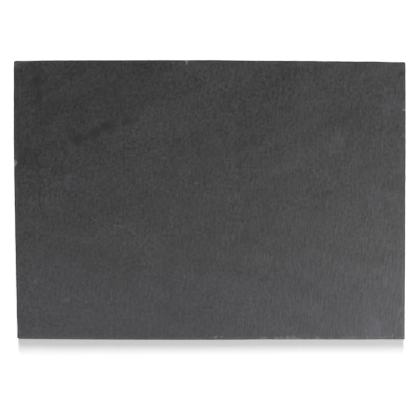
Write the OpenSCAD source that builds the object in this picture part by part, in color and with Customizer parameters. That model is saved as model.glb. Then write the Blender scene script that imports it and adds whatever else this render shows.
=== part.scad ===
// Slate cheese board. One slab of riven slate, sawn nearly square, stands on four moulded
// rubber feet. A disc of adhesive film holds each foot to the slate.
// Millimetres, +Z up. The origin is on the table, under the middle of the board, with the
// back edge of the board towards +Y.

/* [Slate slab] */
// Overall width of the slab, left to right
board_w = 420; // [280:1:480]
// Overall depth of the slab, front to back
board_d = 300; // [200:1:340]
// Thickness of the slate
slab_t = 6; // [4:0.5:10]
// Width of the small bevel rubbed along each arris
arris = 0.6; // [0.2:0.1:1.2]
// Length nipped off each side at a corner, beyond the bevel
corner_nip = 0.3; // [0.1:0.1:3]

/* [Hand-cut outline] */
// How far the front left corner stands in from the left
front_left_in = 4.3; // [0:0.1:8]
// How far the front left corner stands in from the front
front_left_up = 1.3; // [0:0.1:4]
// How far the front right corner stands in from the right
front_right_in = 1.1; // [0:0.1:4]
// How far the front right corner stands in from the front
front_right_up = 0.8; // [0:0.1:4]
// How far the back right corner stands in from the right
back_right_in = 0.2; // [0:0.1:4]
// How far the back right corner stands in from the back
back_right_down = 2.3; // [0:0.1:4]
// How far the back left corner stands in from the left
back_left_in = 0.1; // [0:0.1:4]
// How far the back left corner stands in from the back
back_left_down = 0.9; // [0:0.1:4]
// Most that the front edge swells out from the line between its corners
front_swell = 1; // [0:0.1:3]
// Most that the right edge swells out from the line between its corners
right_swell = 0.4; // [0:0.1:3]
// Most that the back edge swells out from the line between its corners
back_swell = 1.5; // [0:0.1:3]
// Most that the left edge swells out from the line between its corners
left_swell = 1.3; // [0:0.1:3]

/* [Chips and riven hollows] */
// Radius of the hollow that the largest chip leaves
chip_r = 3; // [2:0.5:6]
// Depth that the largest chip bites in behind the bevel
chip_bite = 0.4; // [0.2:0.05:1]
// Depth of a leaf of slate that has lifted off the top face
leaf_t = 0.3; // [0.1:0.05:0.8]
// Reach of the lifted back left corner along the back edge
corner_leaf_w = 24; // [10:1:60]
// Reach of the lifted back left corner down the left edge
corner_leaf_d = 6.5; // [4:0.5:30]
// Length of the largest lifted leaf inside the face
hollow_l = 48; // [20:1:80]
// Width of the largest lifted leaf inside the face
hollow_w = 19; // [8:1:40]

/* [Feet] */
// Diameter of a rubber foot
foot_d = 12.5; // [8:0.5:20]
// Height of a rubber foot
foot_h = 2.8; // [1.5:0.1:6]
// Radius of the round along the table end of a foot
foot_round = 0.8; // [0.3:0.1:1.2]
// Diameter of the dimple moulded in the table end of a foot
dimple_d = 5; // [2:0.5:6]
// Depth of that dimple
dimple_t = 0.4; // [0.2:0.1:1]
// Distance from the middle of a foot to the nearest edges of the board
foot_inset = 26; // [16:1:50]

/* [Adhesive film] */
// Thickness of the adhesive film
film_t = 0.2; // [0.1:0.05:0.5]
// Width of the rim of a foot that the film leaves bare
film_margin = 0.5; // [0.2:0.1:1.5]

/* [Hidden] */
$fn = 64;
overrun = 2;
slab_z = foot_h + film_t;
slab_top = slab_z + slab_t;
foot_x = board_w / 2 - foot_inset;
foot_y = board_d / 2 - foot_inset;
slate_colour = [0.26, 0.26, 0.27];
rubber_colour = [0.1, 0.1, 0.1];
film_colour = [0.85, 0.84, 0.78];

// The outline runs counter-clockwise from the front left corner: front, right, back, left
FRONT = 0;
RIGHT = 1;
BACK = 2;
LEFT = 3;
corners = [
    [-board_w / 2 + front_left_in, -board_d / 2 + front_left_up],
    [board_w / 2 - front_right_in, -board_d / 2 + front_right_up],
    [board_w / 2 - back_right_in, board_d / 2 - back_right_down],
    [-board_w / 2 + back_left_in, board_d / 2 - back_left_down]
];
swells = [front_swell, right_swell, back_swell, left_swell];

// How far each side swells at equal steps from its first corner, as shares of its swell
swell_shares = [
    [0.48, 0.76, 0.94, 0.84, 0.24, 0.06, 0.1],
    [0.1, 0.54, 0.78, 0.88, 0.97, 0.94, 0.7],
    [0.28, 0.62, 0.66, 1, 0.9, 0.69, 0.43],
    [0.45, 0.88, 1, 0.94, 0.83, 0.72, 0.42]
];

// Chips along the top arris: side, share of the way along it, share of the largest chip
chip_shares = [
    [BACK, 0.559, 0.8],
    [BACK, 0.593, 0.5],
    [LEFT, 0.355, 0.85],
    [LEFT, 0.371, 1],
    [RIGHT, 0.828, 0.55],
    [RIGHT, 0.734, 0.5],
    [RIGHT, 0.105, 0.5],
    [FRONT, 0.507, 0.9],
    [FRONT, 0.521, 0.6],
    [FRONT, 0.583, 0.5],
    [FRONT, 0.671, 0.6],
    [FRONT, 0.69, 0.5],
    [FRONT, 0.714, 0.6],
    [FRONT, 0.862, 0.55],
    [FRONT, 0.938, 0.5],
    [FRONT, 0.962, 0.65]
];

// Outline of the lifted corner, from the corner along the back edge and round to the left edge
corner_leaf_shares = [[0.55, 0.26], [0.34, 0.38], [0.16, 0.72]];

// Lifted leaves inside the face: place as shares of the board, then a share of the largest
// leaf's length and width, the turn in degrees and the phase of its ragged outline
hollow_shares = [
    [-0.304, 0.247, 1, 1, 27, 10],
    [-0.443, 0.37, 0.55, 0.6, 82, 200],
    [-0.43, 0.155, 0.8, 1.2, 70, 120]
];
// How ragged the outline of a lifted leaf is
ragged_shares = [0.1, 0.07];
hollow_steps = 20;

// How far a side has swollen at a share t of its length
function swell(side, t) =
    let (
        shares = concat([0], swell_shares[side], [0]),
        steps = len(shares) - 1,
        k = min(floor(t * steps), steps - 1),
        into = t * steps - k
    )
    swells[side] * (shares[k] * (1 - into) + shares[k + 1] * into);

// A point on one side, where t runs from 0 at its first corner to 1 at its second
function side_point(side, t) =
    let (a = corners[side], b = corners[(side + 1) % 4], along = b - a)
    a + along * t + [along.y, -along.x] / norm(along) * swell(side, t);

// One side's points, from nip to nip
function side_points(side) =
    let (
        nip = (corner_nip + arris) / norm(corners[(side + 1) % 4] - corners[side]),
        steps = len(swell_shares[side]) + 1
    )
    [for (k = [0:steps]) side_point(side, max(nip, min(1 - nip, k / steps)))];

rough_outline = [for (side = [FRONT:LEFT]) each side_points(side)];
rough_x = [for (p = rough_outline) p.x];
rough_y = [for (p = rough_outline) p.y];
rough_size = [max(rough_x) - min(rough_x), max(rough_y) - min(rough_y)];
rough_middle = [max(rough_x) + min(rough_x), max(rough_y) + min(rough_y)] / 2;

// Brings a point of the rough outline to the board's overall size, centred on the origin
function trued(p) = [
    (p.x - rough_middle.x) * board_w / rough_size.x,
    (p.y - rough_middle.y) * board_d / rough_size.y
];
outline = [for (p = rough_outline) trued(p)];

// The outline drawn in by a distance, with each side kept parallel
function drawn_in(points, distance) =
    let (n = len(points))
    [for (i = [0:n - 1])
        let (
            before = points[i] - points[(i + n - 1) % n],
            after = points[(i + 1) % n] - points[i],
            u = [-before.y, before.x] / norm(before),
            v = [-after.y, after.x] / norm(after)
        )
        points[i] + (u + v) / (1 + u * v) * distance
    ];

// The slab with its bevelled arrises, before it is chipped
module slab_blank() {
    levels = [
        [slab_z, arris],
        [slab_z + arris, 0],
        [slab_top - arris, 0],
        [slab_top, arris]
    ];
    n = len(outline);
    rings = [for (level = levels) for (p = drawn_in(outline, level[1])) [p.x, p.y, level[0]]];
    under_middle = len(rings);
    top_middle = under_middle + 1;
    top_ring = n * (len(levels) - 1);
    walls = [for (k = [0:len(levels) - 2]) for (i = [0:n - 1])
        let (a = k * n + i, b = k * n + (i + 1) % n) [a, a + n, b + n, b]];
    under = [for (i = [0:n - 1]) [under_middle, i, (i + 1) % n]];
    top = [for (i = [0:n - 1]) [top_middle, top_ring + (i + 1) % n, top_ring + i]];
    polyhedron(
        points = concat(rings, [[0, 0, slab_z], [0, 0, slab_top]]),
        faces = concat(walls, under, top)
    );
}

// What a chip takes: a round hollow that bites in at 45 degrees, behind the bevel
module chip(side, t, size_share) {
    radius = chip_r * size_share;
    reach = (radius - chip_bite * size_share - arris * sin(45)) * cos(45);
    at = trued(side_point(side, t));
    along = corners[(side + 1) % 4] - corners[side];
    out = [along.y, -along.x] / norm(along);
    translate([at.x + out.x * reach, at.y + out.y * reach, slab_top + reach])
        sphere(r = radius);
}

// What the lifted back left corner takes: a thin leaf that runs out past both edges
module corner_leaf() {
    at = trued(corners[LEFT]);
    inner = [for (share = corner_leaf_shares)
        [at.x + share.x * corner_leaf_w, at.y - share.y * corner_leaf_d]];
    translate([0, 0, slab_top - leaf_t])
        linear_extrude(leaf_t + overrun)
            polygon(concat(
                [[at.x - overrun, at.y + overrun], [at.x + corner_leaf_w, at.y + overrun]],
                [[at.x + corner_leaf_w, at.y]],
                inner,
                [[at.x - overrun, at.y - corner_leaf_d]]
            ));
}

// What a lifted leaf inside the face takes, with a ragged oval outline
module hollow(place, length, width, turn, phase) {
    translate([place.x, place.y, slab_top - leaf_t])
        rotate(turn)
            linear_extrude(leaf_t + overrun)
                polygon([for (k = [0:hollow_steps - 1])
                    let (
                        angle = 360 * k / hollow_steps,
                        r = 1 + ragged_shares[0] * sin(3 * angle + phase)
                            + ragged_shares[1] * sin(5 * angle - phase)
                    )
                    [length / 2 * r * cos(angle), width / 2 * r * sin(angle)]
                ]);
}

// The slab of riven slate, chipped along its top arris and with leaves lifted off its face
module slate_slab() {
    color(slate_colour)
        difference() {
            slab_blank();
            for (c = chip_shares) chip(c[0], c[1], c[2]);
            corner_leaf();
            for (h = hollow_shares)
                hollow([h[0] * board_w, h[1] * board_d], h[2] * hollow_l, h[3] * hollow_w, h[4], h[5]);
        }
}

// A moulded rubber foot: a short drum with a round along its table end and a shallow dimple
module foot(x_side, y_side) {
    foot_r = foot_d / 2;
    color(rubber_colour)
        translate([x_side * foot_x, y_side * foot_y, 0])
            difference() {
                rotate_extrude() {
                    square([foot_r - foot_round, foot_h]);
                    translate([0, foot_round])
                        square([foot_r, foot_h - foot_round]);
                    translate([foot_r - foot_round, foot_round])
                        circle(r = foot_round);
                }
                translate([0, 0, -overrun])
                    cylinder(d = dimple_d, h = dimple_t + overrun);
            }
}

// The disc of adhesive film between a foot and the slate
module adhesive(x_side, y_side) {
    color(film_colour)
        translate([x_side * foot_x, y_side * foot_y, foot_h])
            cylinder(d = foot_d - 2 * film_margin, h = film_t);
}

slate_slab();
foot(-1, -1);  // foot_front_left
foot(1, -1);  // foot_front_right
foot(1, 1);  // foot_back_right
foot(-1, 1);  // foot_back_left
adhesive(-1, -1);  // adhesive_front_left
adhesive(1, -1);  // adhesive_front_right
adhesive(1, 1);  // adhesive_back_right
adhesive(-1, 1);  // adhesive_back_left
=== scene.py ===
"""A slate cheese board, seen squarely from above on a white table.

The board is one slab of riven slate on four rubber feet. Lengths are in metres, in the row frame:
the table is the plane z = 0, and the back edge of the board is towards +Y.
"""

import math

import bpy
import numpy as np
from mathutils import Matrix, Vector, noise


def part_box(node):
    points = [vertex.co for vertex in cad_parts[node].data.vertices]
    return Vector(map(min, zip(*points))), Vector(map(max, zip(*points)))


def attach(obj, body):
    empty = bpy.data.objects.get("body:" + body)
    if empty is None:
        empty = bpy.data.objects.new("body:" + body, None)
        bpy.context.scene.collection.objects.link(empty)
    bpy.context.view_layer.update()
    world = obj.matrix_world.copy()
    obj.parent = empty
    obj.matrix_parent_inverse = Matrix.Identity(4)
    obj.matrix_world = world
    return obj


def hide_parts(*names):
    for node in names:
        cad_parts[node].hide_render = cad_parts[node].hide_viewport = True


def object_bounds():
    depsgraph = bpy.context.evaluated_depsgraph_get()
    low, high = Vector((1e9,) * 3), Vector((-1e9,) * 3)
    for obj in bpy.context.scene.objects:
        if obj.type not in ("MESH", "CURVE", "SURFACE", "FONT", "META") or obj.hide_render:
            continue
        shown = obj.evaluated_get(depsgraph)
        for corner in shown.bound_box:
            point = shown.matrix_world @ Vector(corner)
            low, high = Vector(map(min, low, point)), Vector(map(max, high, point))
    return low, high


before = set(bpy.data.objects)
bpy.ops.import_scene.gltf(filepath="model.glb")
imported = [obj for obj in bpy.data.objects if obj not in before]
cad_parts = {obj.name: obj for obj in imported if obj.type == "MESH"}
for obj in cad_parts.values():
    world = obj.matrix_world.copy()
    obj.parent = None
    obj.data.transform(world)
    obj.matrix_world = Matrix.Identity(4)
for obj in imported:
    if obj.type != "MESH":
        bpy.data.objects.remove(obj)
cad_low, cad_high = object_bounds()
MM = 0.001


# The slate slab
# One slab of natural slate, split along its cleavage, so both faces are riven and gently uneven.
# It is sawn to size and its arrises are rubbed down with a stone. They have chipped in a few
# places, and a thin leaf has come off the back left corner.

# A mark is placed by its pixel in a frame of 420 pixels, where the board is this wide
BOARD_PX = 392.5
BOARD_MIDDLE_PX = (209.69, 199.95)
PX = (cad_high.x - cad_low.x) / BOARD_PX


def at_px(x, y):
    """The place on the board, in metres, of a pixel of the photograph"""
    return (x - BOARD_MIDDLE_PX[0]) * PX, (BOARD_MIDDLE_PX[1] - y) * PX


slab_low, slab_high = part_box("slate_slab")
SLAB_W, SLAB_D = slab_high.x - slab_low.x, slab_high.y - slab_low.y
SLAB_T = slab_high.z - slab_low.z

# The top face is a grid of cells, and a band of finer rings runs round it and down the edge
TOP_CELLS = (210, 150)
RINGS_PER_TOP_CELL = 3
RINGS_PER_UNDER_CELL = 6
BAND_W = 5.4 * MM
CORNER_R = 0.8 * MM
WORN_W, WORN_DEPTH = 4 * MM, 0.1 * MM

# The rings from the face over the arris, in mm: how far in from the edge, and how far below the face
FACE_RINGS = [(4.4, 0), (3.5, 0), (2.7, 0), (2.05, 0), (1.5, 0), (1.05, 0.01)]
ARRIS_RINGS = [(0.7, 0.04), (0.45, 0.12), (0.27, 0.25), (0.13, 0.42), (0.04, 0.62)]
WALL_RINGS = 6

# The edge is drawn in by its mean, its laminae and a slow wander, in mm, and less and less over a
# band inside it
EDGE_MEAN, EDGE_LAMINAE, EDGE_WANDER = 0.05, 0.08, 0.03
EDGE_BAND = (0.5 * MM, BAND_W)

# Chips along the top arris: pixel, then in mm the length along the edge, the reach into the face and
# the drop down the edge, then the paleness. Where it is deepest, a chip cuts a sixth of its reach
# into the edge and half of its drop down the face.
CHIP_REACH_PARTS, CHIP_DROP_PARTS = 6, 2
CHIPS = [
    (186.9, 60.3, 2.7, 6.4, 1.6, 0.9),
    (14.3, 163.0, 10.0, 3.8, 1.2, 1.0),
    (13.9, 155.6, 2.6, 2.8, 0.5, 0.3),
    (405.3, 110.1, 2.6, 3.6, 1.0, 1.0),
    (405.3, 136.2, 2.6, 2.4, 0.5, 0.4),
    (404.6, 308.0, 4.0, 2.6, 0.6, 0.2),
    (404.5, 337.2, 3.6, 2.0, 0.9, 0.9),
    (212.0, 339.7, 10.0, 1.9, 0.5, 0.3),
    (216.0, 339.7, 4.6, 3.4, 1.0, 0.4),
    (221.6, 339.7, 3.6, 3.2, 0.8, 0.3),
    (160.0, 339.5, 52.0, 1.8, 0.4, 0.2),
    (392.4, 339.5, 3.0, 4.2, 0.7, 0.6),
]

# Stretches of the arris that are pale but not cut, in the same terms as the chips: rubbed stone along the
# back, and along the front partly rubbed stone and partly a painted highlight where the arris faces the
# front lamps
RUBBED_AND_HIGHLIT = [
    (240.0, 339.5, 38.0, 1.8, 0.4, 0.2),
    (263.5, 339.4, 15.0, 3.6, 0.5, 0.6),
    (276.5, 339.4, 7.0, 3.6, 0.5, 0.65),
    (281.0, 339.4, 6.0, 4.2, 0.5, 0.4),
    (287.5, 339.4, 4.5, 4.6, 0.5, 0.8),
    (293.5, 339.4, 11.0, 4.4, 0.5, 0.5),
    (299.5, 339.4, 11.0, 2.2, 0.5, 0.65),
    (307.5, 339.4, 8.0, 3.4, 0.5, 0.25),
    (318.0, 339.4, 14.0, 3.2, 0.5, 0.5),
    (330.5, 339.4, 12.0, 2.8, 0.5, 0.35),
    (344.0, 339.4, 4.5, 3.8, 0.5, 0.3),
    (352.0, 339.4, 13.0, 3.6, 0.5, 0.35),
    (367.5, 339.4, 5.0, 4.4, 0.5, 0.4),
    (374.0, 339.4, 7.0, 3.0, 0.5, 0.2),
    (379.5, 339.4, 4.0, 3.2, 0.5, 0.25),
    (384.0, 339.4, 4.0, 3.0, 0.5, 0.2),
    (256.5, 60.5, 4.0, 3.0, 0.5, 0.3),
    (300.0, 61.0, 22.0, 4.4, 0.5, 0.12),
    (324.0, 61.3, 12.0, 3.4, 0.5, 0.12),
]

# The line just inside the edge, which is rubbed paler, and which in front reaches the arris as a painted
# highlight: where it starts in front and on the other sides, how far it takes to be full, and between
# which distances from the edge it fades, in mm
RIM_PALE_AND_HIGHLIGHT = 0.08
RIM_START_FRONT, RIM_START, RIM_RISE = 0.4 * MM, 1.4 * MM, 0.6 * MM
RIM_FADE = (2.6 * MM, 3.8 * MM)

# Painted shade on the arris outside that line: how much darker it is on the back, left and right sides,
# and between which distances this fades
ARRIS_SHADE_BACK, ARRIS_SHADE_LEFT, ARRIS_SHADE_RIGHT = 0.2, 0.1, 0.4
ARRIS_SHADE_FADE = (1 * MM, 1.6 * MM)

# Stretches where the sawn edge runs further in, or out: pixel, length, how far in, in mm
SAWN_IN = [
    (398.0, 61.5, 46, 0.6),
    (18.0, 60.8, 62, 0.45),
    (17.2, 331.0, 34, 0.7),
    (158.0, 60.5, 160, 0.12),
    (160.0, 339.5, 150, 0.12),
    (312.0, 339.5, 190, -0.15),
]

# Leaves that have lifted off the face: pixel, length and width in mm, turn in degrees, depth in mm
LEAVES = [
    (91.0, 131.0, 48, 19, 27, 0.16),
    (36.5, 97.0, 27, 11, 82, 0.14),
    (28.5, 156.0, 38, 22, 70, 0.16),
]

# The leaf off the back left corner: how far it runs along the back edge and down the left one and
# how deep it lies, in mm, how pale its floor is, and over which depths that comes in
CORNER_LEAF, CORNER_PALE = (24, 6.5, 0.34), 0.2
CORNER_PALE_DEPTHS = (0.08 * MM, 0.24 * MM)

# The underside is flat up to the first of these distances from a foot's middle, in mm, and as riven
# as the rest from the second
FLAT_ROUND_FOOT = (11.5, 18)

# Broad patches on the face: pixel, length and width in mm, turn in degrees, strength
PALE_PATCHES = [
    (326.0, 100.5, 8, 6, 70, 0.19),
    (367.0, 96.0, 10, 7.2, 30, 0.06),
    (386.0, 90.0, 14, 8.4, 80, 0.07),
    (386.0, 106.0, 14, 7.2, 80, 0.11),
    (388.0, 103.5, 36, 20, 5, 0.06),
    (384.0, 195.0, 56, 18, 0, 0.05),
    (386.5, 124.0, 19, 6, 86, 0.09),
    (400.0, 144.0, 17, 6, 88, 0.08),
    (397.0, 196.0, 19, 8.4, 88, 0.05),
    (400.0, 259.0, 22, 7.2, 88, 0.05),
    (371.0, 198.0, 14, 8.4, 88, 0.09),
    (372.0, 247.0, 17, 8.4, 88, 0.06),
    (387.0, 283.0, 19, 8.4, 86, 0.07),
    (249.0, 75.0, 19, 6, 30, 0.07),
    (338.5, 140.0, 25, 23, 0, 0.1),
    (332.0, 149.0, 42, 34, 80, 0.09),
    (326.0, 137.0, 30, 24, 0, 0.07),
    (301.0, 160.0, 53, 9.6, 22, 0.06),
    (277.0, 172.0, 19, 7.2, 24, 0.06),
    (155.0, 150.0, 14, 8.4, 30, 0.06),
    (149.0, 109.0, 10, 7.2, 30, 0.06),
    (110.0, 146.0, 7, 6, 30, 0.08),
    (63.0, 136.0, 10, 7.2, 70, 0.05),
    (67.0, 181.0, 24, 13, 80, 0.1),
    (63.0, 183.0, 40, 22, 0, 0.05),
    (136.0, 135.0, 18, 13, 30, 0.045),
    (184.0, 88.0, 15, 13, 60, 0.05),
    (231.0, 198.0, 15, 11, 80, 0.05),
    (247.0, 256.0, 10, 4.8, 20, 0.11),
    (35.0, 281.0, 14, 6, 40, 0.11),
    (66.0, 300.0, 12, 7, -10, 0.1),
    (176.0, 324.0, 11, 6, 80, 0.07),
    (374.5, 328.0, 34, 28, 88, 0.15),
    (298.0, 65.5, 36, 8, 0, 0.11),
    (19.5, 95.0, 30, 8, 87, 0.11),
    (400.0, 87.0, 18, 9, 85, 0.07),
    (80.0, 101.0, 26, 13, 30, 0.05),
    (386.0, 130.0, 10, 6, 86, 0.08),
    (378.0, 332.5, 13, 10, 88, 0.22),
    (402.0, 235.0, 210, 18, 89, 0.02),
    (20.5, 82.0, 14, 4.8, 80, 0.11),
    (18.5, 66.0, 10, 9, 0, 0.12),
    # Painted highlight along the right arris
    (401.0, 180.0, 36, 8, 88, 0.07),
    (18.5, 280.0, 44, 7, 88, 0.06),
    (19.5, 331.0, 14, 8, 88, 0.08),
    (309.0, 335.0, 16, 7, 0, 0.07),
    (262.0, 65.0, 12, 7, 0, 0.08),
    (272.0, 198.0, 26, 14, 80, 0.045),
    (238.0, 105.0, 44, 16, 0, 0.035),
    (230.0, 237.5, 54, 15, 0, 0.045),
    (109.0, 94.0, 28, 14, 10, 0.035),
    (46.0, 116.0, 22, 12, 85, 0.04),
    (380.0, 206.0, 24, 14, 88, 0.05),
    (389.0, 258.0, 22, 11, 88, 0.05),
    (365.0, 100.0, 18, 12, 0, 0.045),
    (371.0, 335.5, 30, 6, 0, 0.06),
]
DARK_PATCHES = [
    (115.0, 92.0, 200, 90, 12, 0.21),
    (150.0, 205.0, 130, 60, 0, 0.16),
    (36.0, 84.0, 46, 17, 78, 0.55),
    (38.0, 93.0, 34, 15, 88, 0.6),
    (33.0, 103.0, 16, 10, 20, 0.65),
    (79.0, 138.0, 28, 17, 14, 0.85),
    (94.0, 133.0, 34, 17, 22, 0.68),
    (109.0, 126.0, 32, 21, 22, 0.62),
    (128.5, 121.5, 24, 14, 10, 0.65),
    (85.0, 255.0, 130, 70, 0, 0.14),
    (255.0, 130.0, 260, 110, 12, 0.08),
    (312.0, 148.0, 90, 60, 20, 0.12),
    (345.0, 74.0, 50, 18, 0, 0.12),
    (215.0, 76.0, 44, 22, 10, 0.12),
    (104.0, 313.0, 64, 46, 80, 0.09),
    (152.0, 284.0, 80, 24, -5, 0.06),
    (242.0, 294.0, 62, 30, 0, 0.09),
    (328.0, 274.0, 60, 26, 0, 0.08),
    (50.0, 255.0, 40, 28, 60, 0.25),
    (188.0, 216.0, 40, 26, 0, 0.19),
    (165.0, 174.0, 60, 22, 0, 0.19),
    (372.0, 146.0, 34, 12, 0, 0.14),
    (28.0, 154.0, 58, 34, 82, 0.47),
    (39.0, 164.0, 19, 12, 60, 0.6),
    (110.0, 71.0, 80, 11, 2, 0.2),
    (138.0, 64.5, 42, 8.8, 4, 0.4),
    (340.0, 108.0, 18, 10, -20, 0.4),
    (345.5, 117.0, 25, 11, 75, 0.4),
    (357.0, 126.0, 22, 10, -40, 0.3),
    (366.0, 141.0, 12, 8.8, 0, 0.35),
    (359.0, 68.0, 15, 8.8, 20, 0.35),
    (367.0, 79.5, 12, 8.8, 0, 0.3),
    (350.0, 83.0, 14, 11, 0, 0.36),
    (368.0, 71.0, 14, 9, 0, 0.26),
    (254.0, 140.0, 30, 15, 70, 0.25),
    (52.0, 293.0, 15, 10, 70, 0.3),
    (29.0, 235.0, 15, 10, 80, 0.25),
    (215.0, 150.0, 60, 16, 30, 0.14),
    (147.0, 125.0, 26, 17, 0, 0.2),
    (223.0, 290.0, 36, 20, 10, 0.21),
    (232.0, 65.5, 16, 7, 0, 0.26),
    (321.0, 257.0, 24, 15, 0, 0.16),
    (180.0, 275.0, 22, 15, 0, 0.15),
    (105.0, 327.0, 26, 13, 0, 0.19),
    (74.0, 86.0, 34, 16, 10, 0.28),
    (179.0, 120.0, 24, 18, 0, 0.18),
    (45.0, 143.0, 16, 12, 0, 0.1),
]


def curve_through(points, along, across):
    """One side of the outline as a function: how far across it lies at a place along it"""
    points = points[np.argsort(points[:, along])]
    return lambda value: np.interp(value, points[:, along], points[:, across])


def sides_of(node):
    """The front, back, left and right sides of a CAD slab's outline, each as a function"""
    points = np.array([v.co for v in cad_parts[node].data.vertices])
    levels = np.unique(points[:, 2].round(6))
    rim = np.unique(points[abs(points[:, 2] - levels[1]) < 1e-6][:, :2].round(6), axis=0)
    is_long = abs(rim[:, 1]) / SLAB_D > abs(rim[:, 0]) / SLAB_W
    return (
        curve_through(rim[is_long & (rim[:, 1] < 0)], 0, 1),
        curve_through(rim[is_long & (rim[:, 1] > 0)], 0, 1),
        curve_through(rim[~is_long & (rim[:, 0] < 0)], 1, 0),
        curve_through(rim[~is_long & (rim[:, 0] > 0)], 1, 0),
    )


front_side, back_side, left_side, right_side = sides_of("slate_slab")


def on_plan(a, b):
    """Brings places on a true rectangle, with rounded corners, into the hand-cut outline"""
    half = np.array([SLAB_W / 2, SLAB_D / 2])
    place = np.stack([a, b], axis=-1)
    over = np.maximum(abs(place) - (half - CORNER_R), 0)
    reach = np.linalg.norm(over, axis=-1, keepdims=True)
    kept = over * np.minimum(1, CORNER_R / np.maximum(reach, 1e-9))
    place = np.sign(place) * (abs(place) - over + kept)
    u, v = place[..., 0] / SLAB_W + 0.5, place[..., 1] / SLAB_D + 0.5
    x, y = place[..., 0], place[..., 1]
    for _ in range(2):
        x = left_side(y) * (1 - u) + right_side(y) * u
        y = front_side(x) * (1 - v) + back_side(x) * v
    return x, y


def ring_at(inset, per_side):
    """A ring of places on the true rectangle, drawn in from its edge, from the front left corner"""
    long_steps = np.linspace(-1, 1, per_side[0], endpoint=False)
    short_steps = np.linspace(-1, 1, per_side[1], endpoint=False)
    a = np.concatenate([long_steps, np.ones(per_side[1]), -long_steps, -np.ones(per_side[1])])
    b = np.concatenate([-np.ones(per_side[0]), short_steps, np.ones(per_side[0]), -short_steps])
    return a * (SLAB_W / 2 - inset), b * (SLAB_D / 2 - inset)


def rough(x, y, z, scale, octaves=4, seed=0.0):
    """Smooth noise from about -1 to 1 at each place, stretched by the three scales"""
    return np.array([
        noise.fractal(Vector((px * scale[0] + seed, py * scale[1], pz * scale[2])), 0.9, 2.0, octaves)
        for px, py, pz in zip(x, y, z)
    ])


def ramp(value, low, high):
    """0 below low, 1 above high, and a smooth rise between them"""
    t = np.clip((value - low) / (high - low), 0, 1)
    return t * t * (3 - 2 * t)


# The relief of a riven face, in mm: its mean depth, and how much each kind of unevenness adds. Each
# kind comes about this often in a metre along and across the board, and a terrace falls off between
# two levels of its noise.
RIVEN_MEAN, SWELL_DEPTH, TERRACE_STEP, LINEATION_DEPTH = 0.13, 0.11, 0.03, 0.012
SWELLS, TERRACES, LINEATION = (9, 7, 1), (24, 13, 1), (190, 26, 1)
TERRACE_EDGES = ((-0.1, -0.04), (0.24, 0.29))


def riven_depth(x, y, seed):
    """How far a riven face lies below its highest plane: swells, low terraces and fine lineation"""
    flat = np.zeros_like(x)
    swells = rough(x, y, flat, SWELLS, octaves=3, seed=seed)
    terraces = rough(x, y, flat, TERRACES, octaves=4, seed=seed + 31)
    lineation = rough(x, y, flat, LINEATION, octaves=2, seed=seed + 57)
    steps = sum(ramp(terraces, *edge) for edge in TERRACE_EDGES)
    depth = RIVEN_MEAN + SWELL_DEPTH * swells + TERRACE_STEP * (2 - steps) + LINEATION_DEPTH * lineation
    return depth * MM


def oval_share(x, y, px, py, length, width, turn):
    """How far each place is from the middle of a turned oval, as a share of the way to its rim"""
    cx, cy = at_px(px, py)
    c, s = math.cos(math.radians(turn)), math.sin(math.radians(turn))
    along = ((x - cx) * c + (y - cy) * s) / (length * MM / 2)
    across = ((y - cy) * c - (x - cx) * s) / (width * MM / 2)
    return np.hypot(along, across)


def leaf_depth(x, y):
    """How far the lifted leaves inside the face lie below it"""
    ragged = rough(x, y, np.zeros_like(x), (70, 60, 1), octaves=3, seed=11)
    depth = np.zeros_like(x)
    for px, py, length, width, turn, drop in LEAVES:
        inside = 1 - oval_share(x, y, px, py, length, width, turn) + 0.35 * ragged
        depth = np.maximum(depth, drop * MM * ramp(inside, -0.1, 0.35))
    return depth


def patches_of(x, y, patches):
    """The strength of the broad patches at each place"""
    ragged = rough(x, y, np.zeros_like(x), (150, 130, 1), octaves=3, seed=21)
    strongest = np.zeros_like(x)
    for px, py, length, width, turn, strength in patches:
        inside = 1 - oval_share(x, y, px, py, length, width, turn) + 0.45 * ragged
        strongest = np.maximum(strongest, strength * ramp(inside, 0, 0.9))
    return strongest


def off_feet(x, y):
    """0 over each foot, where the underside is rubbed flat to take the film, and 1 away from it"""
    nearest = np.full_like(x, np.inf)
    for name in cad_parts:
        if name.startswith("foot_"):
            low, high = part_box(name)
            nearest = np.minimum(nearest, np.hypot(x - (low.x + high.x) / 2, y - (low.y + high.y) / 2))
    return ramp(nearest, *(radius * MM for radius in FLAT_ROUND_FOOT))


def corner_depth(x, y):
    """How far the lifted back left corner lies below the face"""
    length, width, drop = (value * MM for value in CORNER_LEAF)
    ragged = rough(x, y, np.zeros_like(x), (160, 160, 1), octaves=3, seed=5)
    from_corner = (x - slab_low.x) / length + (slab_high.y - y) / width
    return drop * ramp(1 + 0.25 * ragged - from_corner, 0, 0.12)


def edge_place(px, py):
    """The place on the edge nearest to a pixel, and whether it is on a long side"""
    cx, cy = at_px(px, py)
    cx, cy = np.clip(cx, -SLAB_W / 2, SLAB_W / 2), np.clip(cy, -SLAB_D / 2, SLAB_D / 2)
    return cx, cy, abs(cy) / SLAB_D > abs(cx) / SLAB_W


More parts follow.
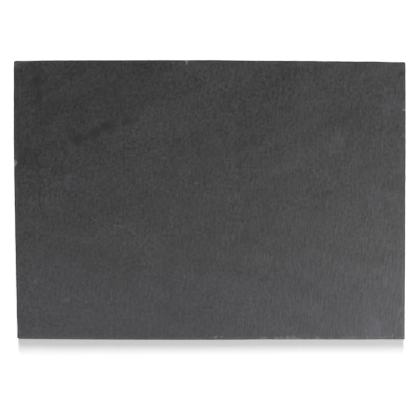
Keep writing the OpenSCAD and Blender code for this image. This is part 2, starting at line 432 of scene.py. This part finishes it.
class SlabMesh:
    """Vertices and faces of the slab, built ring by ring from the top face to the underside"""

    def __init__(self):
        self.places, self.faces = [], []
        self.count = 0

    def add(self, a, b, inset, below, top_share):
        """Adds places of the true rectangle: how far below the face they lie, and how much they
        belong to the top face rather than to the underside. Returns their numbers."""
        values = np.broadcast_arrays(a, b, inset, below, top_share)
        self.places.append(np.stack([np.ravel(v) for v in values], axis=-1))
        first, self.count = self.count, self.count + values[0].size
        return np.arange(first, self.count)

    def face_grid(self, cells, below, top_share):
        """The grid of one face. Returns the numbers round its edge, from the front left corner."""
        half_w, half_d = SLAB_W / 2 - BAND_W, SLAB_D / 2 - BAND_W
        a, b = np.meshgrid(
            np.linspace(-half_w, half_w, cells[0] + 1), np.linspace(-half_d, half_d, cells[1] + 1)
        )
        numbers = self.add(a, b, BAND_W, below, top_share).reshape(a.shape)
        quads = np.stack([numbers[:-1, :-1], numbers[:-1, 1:], numbers[1:, 1:], numbers[1:, :-1]], -1)
        self.faces += self.turned(quads.reshape(-1, 4), top_share)
        return np.concatenate(
            [numbers[0, :-1], numbers[:-1, -1], numbers[-1, :0:-1], numbers[:0:-1, 0]]
        )

    def turned(self, faces, top_share):
        """Faces of the underside look down, so their corners run the other way"""
        return (faces if top_share > 0.5 else faces[:, ::-1]).tolist()

    def join(self, inner, outer):
        """The wall of quads between two rings of the same length"""
        after_in, after_out = np.roll(inner, -1), np.roll(outer, -1)
        self.faces += np.stack([inner, outer, after_out, after_in], axis=-1).tolist()

    def fan(self, coarse, fine, top_share):
        """Joins a face's coarse edge to the fine ring outside it, with fans of triangles"""
        ratio = len(fine) // len(coarse)
        half = ratio // 2
        here, after = np.arange(len(coarse)), np.roll(np.arange(len(coarse)), -1)
        start = here * ratio
        tris = [(coarse[here], fine[start + k], fine[(start + k + 1) % len(fine)]) for k in range(half)]
        tris.append((coarse[here], fine[start + half], coarse[after]))
        tris += [
            (coarse[after], fine[start + k], fine[(start + k + 1) % len(fine)])
            for k in range(half, ratio)
        ]
        for tri in tris:
            self.faces += self.turned(np.stack(tri, axis=-1), top_share)


# The rings in order, from the top face over the arris, down the side and under the slab: how far in
# from the edge, how far below the face, and how much they belong to the top face
per_side = tuple(cells * RINGS_PER_TOP_CELL for cells in TOP_CELLS)
under_cells = tuple(count // RINGS_PER_UNDER_CELL for count in per_side)
profile = [(inset * MM, below * MM, 1.0) for inset, below in FACE_RINGS + ARRIS_RINGS]
wall_top = ARRIS_RINGS[-1][1] * MM
for k in range(1, WALL_RINGS + 1):
    share = k / (WALL_RINGS + 1)
    profile.append((0.0, wall_top + (SLAB_T - 2 * wall_top) * share, 1 - share))
profile += [(inset * MM, SLAB_T - below * MM, 0.0) for inset, below in ARRIS_RINGS[::-1]]
profile += [(inset * MM, SLAB_T - below * MM, 0.0) for inset, below in FACE_RINGS[::-2]]

slab_mesh = SlabMesh()
top_edge = slab_mesh.face_grid(TOP_CELLS, 0.0, 1.0)
rings = [
    slab_mesh.add(*ring_at(inset, per_side), inset, below, share) for inset, below, share in profile
]
slab_mesh.fan(top_edge, rings[0], 1.0)
for inner, outer in zip(rings, rings[1:]):
    slab_mesh.join(inner, outer)
under_edge = slab_mesh.face_grid(under_cells, SLAB_T, 0.0)
slab_mesh.fan(under_edge, rings[-1], 0.0)

# Each place is drawn in where the edge is uneven or chipped, and let down where the face is riven
a, b, inset, below, top_share = np.concatenate(slab_mesh.places).T
on_face = ramp(top_share, 0.9, 1)
x, y = on_plan(a, b)
for px, py, length, inward in SAWN_IN:
    cx, cy, on_long_side = edge_place(px, py)
    along = (x - cx if on_long_side else y - cy) / (length * MM / 2)
    off_edge = SLAB_D / 2 - b * np.sign(cy) if on_long_side else SLAB_W / 2 - a * np.sign(cx)
    shift = inward * MM * np.clip(1 - along ** 2, 0, 1) * (1 - ramp(off_edge, *EDGE_BAND))
    if on_long_side:
        y = y - np.sign(cy) * shift
    else:
        x = x - np.sign(cx) * shift
edge_share = 1 - ramp(inset, *EDGE_BAND)
laminae = rough(x, y, -below, (75, 75, 900), octaves=3, seed=3)
wander = rough(x, y, np.zeros_like(x), (16, 16, 1), octaves=3, seed=8)
uneven_edge = EDGE_MEAN + EDGE_LAMINAE * laminae + EDGE_WANDER * wander
drawn_in = edge_share * np.clip(uneven_edge, 0, None) * MM


def bite_of(px, py, length, reach, drop):
    """How deep in a chip each place lies: 0 outside it, and about 1 at its middle"""
    cx, cy, on_long_side = edge_place(px, py)
    along = x - cx if on_long_side else y - cy
    off_side = abs(y - cy) if on_long_side else abs(x - cx)
    near = (off_side < BAND_W + 2 * MM) & (abs(along) < length * MM)
    ragged = rough(x[near], y[near], -below[near], (420, 420, 420), octaves=2, seed=px)
    bite = np.zeros_like(x)
    bite[near] = 1 + 0.35 * ragged - (2 * along[near] / (length * MM)) ** 2
    return np.clip(bite - inset / (reach * MM) - below / (drop * MM), 0, None)


chip_in, chip_down = np.zeros_like(x), np.zeros_like(x)
rim_grain = rough(x, y, np.zeros_like(x), (120, 120, 1), octaves=2, seed=41)
rim_start = np.where(b < BAND_W - SLAB_D / 2, RIM_START_FRONT, RIM_START)
rim = ramp(inset - rim_start, 0, RIM_RISE) * (1 - ramp(inset, *RIM_FADE)) * on_face
broken_and_highlit = RIM_PALE_AND_HIGHLIGHT * np.clip(1 + 1.2 * rim_grain, 0, None) * rim
for px, py, length, reach, drop, paleness in CHIPS:
    bite = bite_of(px, py, length, reach, drop)
    chip_in = np.maximum(chip_in, bite * reach * MM / CHIP_REACH_PARTS)
    chip_down = np.maximum(chip_down, bite * drop * MM / CHIP_DROP_PARTS)
    broken_and_highlit = np.maximum(broken_and_highlit, paleness * ramp(bite, 0, 0.3))
for px, py, length, reach, drop, paleness in RUBBED_AND_HIGHLIT:
    broken_and_highlit = np.maximum(broken_and_highlit, paleness * ramp(bite_of(px, py, length, reach, drop), 0, 0.3))
corner = corner_depth(x, y) * top_share
worn = WORN_DEPTH * np.clip(1 - inset / WORN_W, 0, None) ** 2
broken_and_highlit = np.maximum(broken_and_highlit, CORNER_PALE * ramp(corner, *CORNER_PALE_DEPTHS) * on_face)
drawn_in += chip_in
lie_down = np.where(
    top_share > 0.5, riven_depth(x, y, 0), -riven_depth(x, y, 200) * off_feet(x, y)
) * abs(2 * top_share - 1)
lie_down += (leaf_depth(x, y) + worn) * top_share + corner + chip_down
towards_x = np.where(abs(a) > SLAB_W / 2 - BAND_W, np.sign(a), 0) * edge_share
towards_y = np.where(abs(b) > SLAB_D / 2 - BAND_W, np.sign(b), 0) * edge_share
towards = np.maximum(np.hypot(towards_x, towards_y), 1e-9)
x = x - towards_x / towards * drawn_in
y = y - towards_y / towards * drawn_in
z = slab_high.z - below - lie_down
patches = patches_of(x, y, PALE_PATCHES) - patches_of(x, y, DARK_PATCHES)
# Painted shade on the arris of the back, left and right sides goes in with the dark patches
arris_shade = np.select(
    [a > SLAB_W / 2 - BAND_W, b > SLAB_D / 2 - BAND_W, a < BAND_W - SLAB_W / 2],
    [ARRIS_SHADE_RIGHT, ARRIS_SHADE_BACK, ARRIS_SHADE_LEFT],
    0,
)
patches -= arris_shade * (1 - ramp(inset, *ARRIS_SHADE_FADE))
patches *= on_face

slab_data = bpy.data.meshes.new("slate_slab_riven")
slab_data.from_pydata(np.stack([x, y, z], axis=-1).tolist(), [], slab_mesh.faces)
for name, values in (("broken_and_highlit", broken_and_highlit), ("patches", patches)):
    slab_data.attributes.new(name, "FLOAT", "POINT").data.foreach_set("value", values.astype(np.float32))
slab_data.shade_smooth()
slab_data.validate()
slab = bpy.data.objects.new("slate_slab_riven", slab_data)
bpy.context.scene.collection.objects.link(slab)


class Wire:
    """A socket of a node tree, so that maths over a surface is written as maths"""

    def __init__(self, socket):
        self.socket = socket

    def maths(self, operation, *others, clamp=False):
        """What a Math node makes of this value and others"""
        node = self.socket.id_data.nodes.new("ShaderNodeMath")
        node.operation = operation
        node.use_clamp = clamp
        for entry, value in zip(node.inputs, (self, *others)):
            feed(entry, value)
        return Wire(node.outputs[0])

    def __add__(self, other):
        return self.maths("ADD", other)

    def __sub__(self, other):
        return self.maths("SUBTRACT", other)

    def __mul__(self, other):
        return self.maths("MULTIPLY", other)

    def __rsub__(self, other):
        return self * -1 + other

    __radd__ = __add__
    __rmul__ = __mul__

    def most(self, other):
        """The larger of two values"""
        return self.maths("MAXIMUM", other)

    def clamped(self):
        """The value kept between 0 and 1"""
        return self.maths("MULTIPLY", 1, clamp=True)


def feed(entry, value):
    """Gives a node's socket a link or a fixed value"""
    if isinstance(value, Wire):
        entry.id_data.links.new(value.socket, entry)
    else:
        entry.default_value = value


class Finish:
    """A material and the nodes that make it"""

    def __init__(self, name):
        self.material = bpy.data.materials.new(name)
        self.material.use_nodes = True
        self.tree = self.material.node_tree
        self.tree.nodes.clear()

    def node(self, kind, settings=(), sockets=(), out=0):
        """Makes a node: its settings first, then its sockets. Returns one of its outputs."""
        node = self.tree.nodes.new(kind)
        for name, value in dict(settings).items():
            setattr(node, name, value)
        for name, value in dict(sockets).items():
            feed(node.inputs[name], value)
        return Wire(node.outputs[out])

    def scaled(self, vector, scale, turn=0.0):
        """The same places, turned about Z and stretched"""
        return self.node(
            "ShaderNodeMapping",
            {"vector_type": "TEXTURE"},
            {"Vector": vector, "Rotation": (0, 0, turn), "Scale": tuple(1 / s for s in scale)},
        )

    def grain(self, vector, scale, detail=3, roughness=0.6, seed=0.0, turn=0.0):
        """Noise about 0, from about -0.5 to 0.5, with its own scale along each axis"""
        field = self.node(
            "ShaderNodeTexNoise",
            {"noise_dimensions": "4D"},
            {
                "Vector": self.scaled(vector, scale, turn),
                "W": seed,
                "Scale": 1,
                "Detail": detail,
                "Roughness": roughness,
            },
        )
        return field - 0.5

    def mixed(self, factor, a, b):
        """A colour between two colours"""
        node = self.tree.nodes.new("ShaderNodeMix")
        node.data_type = "RGBA"
        for entry, value in zip((node.inputs[0], node.inputs[6], node.inputs[7]), (factor, a, b)):
            feed(entry, value if isinstance(value, Wire) or entry == node.inputs[0] else (*value, 1))
        return Wire(node.outputs[2])

    def done(self, shader):
        """Joins the shader to the output and returns the material"""
        output = self.tree.nodes.new("ShaderNodeOutputMaterial")
        feed(output.inputs["Surface"], shader)
        return self.material


# Small marks on the face, which are finer than the mesh, in the same terms as the broad patches: pale
# dashes and nicks with painted highlights along the right arris, and dark specks with the painted shade
# on one side of a chip
PALE_MARKS_AND_HIGHLIGHTS = [
    (196.5, 183.2, 6, 1.0, -4, 0.5),
    (222.5, 185.3, 10, 1.6, -3, 0.2),
    (134.5, 207.0, 6, 1.2, 8, 0.2),
    (95.0, 219.5, 12, 1.2, -12, 0.22),
    (119.0, 226.0, 18, 1.3, -10, 0.24),
    (130.0, 230.5, 14, 1.2, -28, 0.2),
    (140.0, 238.0, 9, 1.2, -48, 0.16),
    (305.0, 87.0, 3, 2.4, 0, 0.2),
    (362.5, 74.0, 4, 2, 70, 0.3),
    (370.0, 94.5, 5, 2, 75, 0.2),
    (391.5, 98.0, 8, 2, 85, 0.2),
    (236.0, 195.0, 9, 2, 84, 0.16),
    (239.5, 197.0, 8, 1.6, 84, 0.14),
    (301.0, 199.5, 3, 1.6, 0, 0.25),
    (342.0, 267.0, 7, 2.6, 75, 0.18),
    (270.0, 316.0, 8, 2.4, 85, 0.18),
    (37.0, 280.0, 9, 2.4, 30, 0.15),
    (66.0, 299.5, 7, 2.4, -10, 0.13),
    (74.5, 308.5, 4, 2, 20, 0.25),
    (389.5, 320.0, 9, 1.6, 82, 0.1),
    (395.5, 327.0, 12, 1.6, 88, 0.1),
    (365.5, 331.5, 9, 2.6, 84, 0.16),
    (371.8, 325.0, 6, 2.8, 80, 0.18),
    (392.4, 335.4, 6, 2.2, 88, 0.45),
    (215.6, 336.9, 6.5, 2.8, 0, 0.55),
    (221.9, 336.9, 4.2, 2.4, 0, 0.4),
    (352.0, 337.2, 30, 1.8, 0, 0.14),
    (380.0, 336.8, 30, 2.4, 0, 0.14),
    (240.0, 337.6, 34, 1.6, 0, 0.12),
    (290.0, 337.4, 22, 1.8, 0, 0.14),
    # Painted highlight along the right arris
    (402.4, 300.0, 40, 1.6, 89, 0.12),
    (397.0, 290.0, 20, 1.5, 86, 0.1),
    (400.5, 322.0, 4, 3, 60, 0.22),
    # Painted highlights along the right arris
    (402.0, 116.0, 40, 1.3, 89, 0.2),
    (401.8, 160.0, 44, 1.2, 89, 0.17),
    (382.5, 145.0, 17, 1.5, 89, 0.24),
    (402.5, 135.3, 3.0, 1.8, 60, 0.36),
    (373.5, 144.0, 14, 1.5, 86, 0.18),
    (400.0, 312.0, 20, 1.6, 74, 0.3),
    (394.0, 305.0, 12, 1.8, 84, 0.14),
    (16.6, 65.5, 6, 3, 70, 0.14),
    (173.0, 63.1, 2.9, 2.0, 0, 0.34),
    (189.0, 66.0, 5, 1.8, 90, 0.14),
    (34.0, 110.0, 3, 2, 20, 0.3),
    (29.0, 172.0, 7, 3, 40, 0.14),
]
DARK_MARKS_AND_SHADE = [
    (352.5, 303.0, 1.6, 1.6, 0, 1.2),
    # The shadow side of the chip at the back edge: partly a crack, partly painted shade
    (185.1, 62.6, 3.4, 1.4, 90, 1.2),
    (401.0, 73.6, 10, 3.0, 47, 1.2),
]

SLATE_DARK, SLATE_DARK_BLUE = (0.003, 0.003, 0.003), (0.003, 0.003, 0.0035)
SLATE_MID, SLATE_MID_BLUE = (0.038, 0.038, 0.0385), (0.039, 0.039, 0.0455)
SLATE_PALE, SLATE_BLOOM = (0.16, 0.16, 0.162), (0.157, 0.154, 0.23)
SLATE_ROUGHNESS, SLATE_GLOSS, SLATE_RELIEF = 0.39, 0.7, 0.2 * MM

slate = Finish("riven_slate")
spot = slate.node("ShaderNodeTexCoord", out="Object")
spot_x, spot_y, spot_z = (
    slate.node("ShaderNodeSeparateXYZ", sockets={"Vector": spot}, out=axis) for axis in "XYZ"
)
mark_edge = slate.grain(spot, (480, 380, 480), detail=2, roughness=0.5, seed=4) * 2.4 + 1.5
on_top = ((spot_z - (slab_low.z + slab_high.z) / 2) * 1000).clamped()


def marks_of(marks):
    """One soft mask for a list of marks, with edges that the grain breaks up"""
    total = None
    for px, py, length, width, turn, strength in marks:
        sockets = {
            "Vector": spot,
            "Location": (*at_px(px, py), 0),
            "Rotation": (0, 0, math.radians(turn)),
            "Scale": (length * MM / 2, width * MM / 2, 1000),
        }
        off = slate.node("ShaderNodeMapping", {"vector_type": "TEXTURE"}, sockets)
        reach = slate.node("ShaderNodeVectorMath", {"operation": "LENGTH"}, {0: off}, out="Value")
        mask = reach.maths("MULTIPLY_ADD", -1.5, mark_edge, clamp=True) * strength
        total = mask if total is None else total.most(mask)
    return total * on_top


# The chips and the rubbed arris with the painted highlight along the front, then the patches with the
# painted shade on the arris
broken_and_highlit_mask = slate.node("ShaderNodeAttribute", {"attribute_name": "broken_and_highlit"}, out="Fac")
patch_and_arris_shade_mask = slate.node("ShaderNodeAttribute", {"attribute_name": "patches"}, out="Fac")

# Broad unevenness of the stone: clouds, blotches, and bands of cleavage that rise to the right
# behind the middle of the board and fall in front of it
clouds = slate.grain(spot, (10, 14, 10), roughness=0.5, seed=1)
blotches = slate.grain(spot, (55, 42, 300), detail=4, seed=2)
rising = slate.grain(spot, (9, 52, 200), detail=4, roughness=0.55, seed=7, turn=math.radians(23))
falling = slate.grain(spot, (9, 46, 200), detail=4, roughness=0.55, seed=8, turn=math.radians(-20))
upper = (spot_y * 9 + 0.55).clamped()
bands = rising * upper + falling * (1 - upper)

# Fine grain: grit and pale flecks all over, lineation that is strongest towards both ends, and stone
# that is combed from back to front at the front right
GRAIN_TURN = math.radians(-4)
lineation = slate.grain(spot, (420, 90, 900), seed=3, turn=GRAIN_TURN)
combing = slate.grain(spot, (500, 70, 900), detail=2, roughness=0.5, seed=12, turn=GRAIN_TURN)
combed = (spot_x * 10 - 0.9).clamped() * (spot_y * -6 + 0.5).clamped()
grit = slate.grain(spot, (300, 300, 900), seed=5)
flecks = (slate.grain(spot, (520, 260, 900), detail=2, roughness=0.5, seed=6) - 0.12).clamped()
streaks = lineation * (spot_x * 2.6 + 1.05).most(spot_x * -5 + 0.1) + combing * combed * 1.8
fine = slate.grain(spot, (1700, 1500, 1700), roughness=0.65, seed=9)

# The layers of the slate, which show on the sawn sides
laminae = slate.grain(spot, (30, 30, 2400), seed=10)
normal = slate.node("ShaderNodeTexCoord", out="Normal")
facing_up = slate.node("ShaderNodeSeparateXYZ", sockets={"Vector": normal}, out="Z")
sawn = (1 - facing_up.maths("ABSOLUTE")) * laminae

# The tone of the stone, 0 where it is darkest and 1 where it is palest
uneven = (spot_x * 2.4).most(0) + 1.04
tone = (clouds * 0.3 + blotches * 0.5 + bands * 0.8) * uneven + sawn * 2.2 + fine * 0.7 + streaks
grit_share = 2.1 + spot_y * 1.4 + spot_x * spot_y * 10 + combed * 0.1 + (clouds + blotches) * 2.5
tone = tone + grit * grit_share + 0.5

# The stone is bluer towards the front
low_side = (spot_y * -9 + clouds * 1.5 - 0.05).clamped()

# The stone between its darkest and palest colours, with its flecks. Over it come the dark and pale
# patches with the painted shade on the arris, the small marks with their painted highlights and painted
# shade, and the fresh stone of the chips with the rubbed arris and its painted highlight, with rims that
# the grit breaks up.
stone = slate.mixed(
    tone.clamped(),
    slate.mixed(low_side, SLATE_DARK, SLATE_DARK_BLUE),
    slate.mixed(low_side, SLATE_MID, SLATE_MID_BLUE),
)
stone = slate.mixed(flecks * 2.2, stone, SLATE_PALE)
stone = slate.mixed((patch_and_arris_shade_mask * (grit * -2.4 - 1)).clamped(), stone, SLATE_DARK)
stone = slate.mixed((patch_and_arris_shade_mask * (grit + 1)).clamped(), stone, SLATE_BLOOM)
stone = slate.mixed(marks_of(DARK_MARKS_AND_SHADE), stone, SLATE_DARK)
stone = slate.mixed(marks_of(PALE_MARKS_AND_HIGHLIGHTS), stone, SLATE_PALE)
stone = slate.mixed((broken_and_highlit_mask * (grit + 0.9)).clamped(), stone, SLATE_PALE)

relief = slate.node(
    "ShaderNodeBump",
    sockets={
        "Strength": 1.0,
        "Distance": SLATE_RELIEF,
        "Height": lineation * 0.9 + grit * 0.5 + blotches * 1.2 + fine * 0.22 + sawn * 0.8 + 0.5,
    },
)
slate_material = slate.done(
    slate.node(
        "ShaderNodeBsdfPrincipled",
        sockets={
            "Base Color": stone,
            "Roughness": (grit * 0.15 + blotches * 0.15 + SLATE_ROUGHNESS).clamped(),
            "Specular IOR Level": SLATE_GLOSS,
            "Normal": relief,
        },
    )
)
slab_data.materials.append(slate_material)
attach(slab, "root")
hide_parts("slate_slab")


# The adhesive film
# A disc of double-sided film under each foot, cream coloured and matt. It is pressed on between
# the rubber and the underside of the slate, and shows as a thin line there.
FILM = (0.52, 0.5, 0.42)
FILM_SHADE = (0.4, 0.38, 0.31)
FILM_ROUGHNESS, FILM_GLOSS = 0.6, 0.35

film = Finish("adhesive_film")
film_spot = film.node("ShaderNodeTexCoord", out="Object")
creases = film.grain(film_spot, (900, 900, 900), seed=1)
film_material = film.done(
    film.node(
        "ShaderNodeBsdfPrincipled",
        sockets={
            "Base Color": film.mixed((creases + 0.5).clamped(), FILM_SHADE, FILM),
            "Roughness": creases * 0.2 + FILM_ROUGHNESS,
            "Specular IOR Level": FILM_GLOSS,
        },
    )
)
for name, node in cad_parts.items():
    if name.startswith("adhesive_"):
        node.material_slots[0].material = film_material


# The rubber feet
# Four round feet of black rubber, moulded with a rounded rim and a shallow dimple. The mould
# leaves a fine even texture, and the table end is rubbed a little smoother and greyer.
RUBBER = (0.014, 0.014, 0.0145)
RUBBER_RUBBED = (0.03, 0.03, 0.031)
RUBBER_ROUGHNESS, RUBBER_GLOSS, RUBBER_RELIEF = 0.62, 0.4, 0.05 * MM

rubber = Finish("foot_rubber")
rubber_spot = rubber.node("ShaderNodeTexCoord", out="Object")
moulding = rubber.grain(rubber_spot, (2600, 2600, 2600), detail=2, roughness=0.5, seed=1)
scuffs = rubber.grain(rubber_spot, (260, 900, 260), roughness=0.65, seed=2)
rubber_material = rubber.done(
    rubber.node(
        "ShaderNodeBsdfPrincipled",
        sockets={
            "Base Color": rubber.mixed((scuffs * 2 + 0.3).clamped(), RUBBER, RUBBER_RUBBED),
            "Roughness": moulding * 0.2 + scuffs * 0.2 + RUBBER_ROUGHNESS,
            "Specular IOR Level": RUBBER_GLOSS,
            "Normal": rubber.node(
                "ShaderNodeBump",
                sockets={"Strength": 0.5, "Distance": RUBBER_RELIEF, "Height": moulding + 0.5},
            ),
        },
    )
)
for name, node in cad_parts.items():
    if name.startswith("foot_"):
        node.material_slots[0].material = rubber_material


# The table
# A plain white table top, far larger than the board. The camera sees it as the white ground of
# the photograph. It keeps the board's soft shadow, and turns to an even white further away.
TABLE_HALF = 4.0
EVEN_FROM, EVEN_TO = 0.4, 0.8
TABLE_WHITE = (0.95, 0.95, 0.95)
TABLE_LIFT = 0.22
RAY_KINDS = ("Is Camera Ray", "Is Glossy Ray", "Is Transmission Ray")

table_data = bpy.data.meshes.new("table_top")
table_data.from_pydata(
    [(sx * TABLE_HALF, sy * TABLE_HALF, 0) for sx, sy in ((-1, -1), (1, -1), (1, 1), (-1, 1))],
    [],
    [(0, 1, 2, 3)],
)
table = bpy.data.objects.new("table_top", table_data)
bpy.context.scene.collection.objects.link(table)

white = Finish("table_white")
camera_ray, glossy_ray, clear_ray = (
    white.node("ShaderNodeLightPath", out=kind) for kind in RAY_KINDS
)
seen_directly = camera_ray.most(glossy_ray).most(clear_ray)
matt = white.node("ShaderNodeBsdfDiffuse", sockets={"Color": (*TABLE_WHITE, 1)})
lift = white.node("ShaderNodeEmission", sockets={"Strength": TABLE_LIFT})
lifted = white.node("ShaderNodeAddShader", sockets={0: matt, 1: lift})
even = white.node("ShaderNodeEmission", sockets={"Strength": 1.0})
place = white.node("ShaderNodeTexCoord", out="Object")
away = white.node("ShaderNodeVectorMath", {"operation": "LENGTH"}, {0: place}, out="Value")
far_away = ((away - EVEN_FROM) * (1 / (EVEN_TO - EVEN_FROM))).clamped()
ground = white.node("ShaderNodeMixShader", sockets={"Fac": far_away, 1: lifted, 2: even})
choice = white.node("ShaderNodeMixShader", sockets={"Fac": seen_directly, 1: matt, 2: ground})
table_data.materials.append(white.done(choice))


# The studio light
# Two soft lamps stand in front, the larger to the right, and the slate's sheen comes from them. A
# tall soft strip far behind leans back and draws the shadow in front of the board. The room is white
# low down and at the front right, and dark overhead at the back left.
ROOM_WHITE, ROOM_LEVEL = (1, 1, 1, 1), 0.15
LOW_FROM, LOW_TO = 0.35, 0.55
WHITE_SIDE, WHITE_SHIFT, WHITE_BLUR = math.radians(-43), 0.015, 0.2
KEY_PLACE, KEY_SIZE, KEY_POWER = (0.79, -0.53, 1.4), 0.8, 6.9
FILL_PLACE, FILL_SIZE, FILL_POWER = (-0.51, -0.53, 1.4), 0.6, 1.7
STRIP_FOOT, STRIP_LEAN = (0, 4.4, 0.36), math.radians(31)
STRIP_SIZE, STRIP_POWER = (0.3, 36.0), 5600.0

world = bpy.data.worlds.new("white_room")
bpy.context.scene.world = world
world.use_nodes = True
world.node_tree.nodes.clear()


class Room(Finish):
    """The world's nodes, made the way a material's are"""

    def __init__(self, world):
        self.tree = world.node_tree


room = Room(world)
sky = room.node("ShaderNodeTexCoord", out="Generated")
sky_x, sky_y, sky_z = (
    room.node("ShaderNodeSeparateXYZ", sockets={"Vector": sky}, out=axis) for axis in "XYZ"
)
low_down = ((LOW_TO - sky_z) * (1 / (LOW_TO - LOW_FROM))).clamped()
towards = sky_x * math.cos(WHITE_SIDE) + sky_y * math.sin(WHITE_SIDE) + WHITE_SHIFT
white_side = (towards * (1 / WHITE_BLUR) + 0.5).clamped()
camera_ray, glossy_ray, clear_ray = (
    room.node("ShaderNodeLightPath", out=kind) for kind in RAY_KINDS
)
room_ground = room.node("ShaderNodeBackground", sockets={"Color": ROOM_WHITE, "Strength": 1})
room_light = room.node("ShaderNodeBackground", sockets={"Color": ROOM_WHITE, "Strength": ROOM_LEVEL})
room_share = camera_ray.most(glossy_ray.most(clear_ray) * low_down.most(white_side))
room_choice = room.node("ShaderNodeMixShader", sockets={"Fac": room_share, 1: room_light, 2: room_ground})
room_output = room.tree.nodes.new("ShaderNodeOutputWorld")
feed(room_output.inputs["Surface"], room_choice)


def lamp(name, place, size, power):
    """An area lamp that faces the middle of the board"""
    data = bpy.data.lights.new(name, "AREA")
    data.shape = "RECTANGLE"
    data.size, data.size_y = size
    data.energy = power
    made = bpy.data.objects.new(name, data)
    made.location = place
    made.rotation_euler = (-Vector(place)).to_track_quat("-Z", "Y").to_euler()
    bpy.context.scene.collection.objects.link(made)
    return made


lamp("key_lamp", KEY_PLACE, (KEY_SIZE, KEY_SIZE), KEY_POWER)
lamp("fill_lamp", FILL_PLACE, (FILL_SIZE, FILL_SIZE), FILL_POWER)
up_strip = Vector((0, math.sin(STRIP_LEAN), math.cos(STRIP_LEAN)))
strip_middle = Vector(STRIP_FOOT) + up_strip * (STRIP_SIZE[1] / 2)
strip = lamp("strip_lamp", strip_middle, STRIP_SIZE, STRIP_POWER)
strip.rotation_euler = (-math.pi / 2 - STRIP_LEAN, 0, 0)
strip.visible_glossy = False


# The camera
# It looks straight down at the board from above, as the photograph does, with the back edge up.
LENS_MM, SENSOR_MM = 85.0, 36.0
FRAME_PX = 420

camera_data = bpy.data.cameras.new("camera")
camera_data.lens, camera_data.sensor_width = LENS_MM, SENSOR_MM
camera = bpy.data.objects.new("camera", camera_data)
middle_x, middle_y = at_px(FRAME_PX / 2, FRAME_PX / 2)
camera.location = (middle_x, middle_y, slab_high.z + FRAME_PX * PX * LENS_MM / SENSOR_MM)
bpy.context.scene.collection.objects.link(camera)
bpy.context.scene.camera = camera
bpy.context.scene.view_settings.view_transform = "Standard"
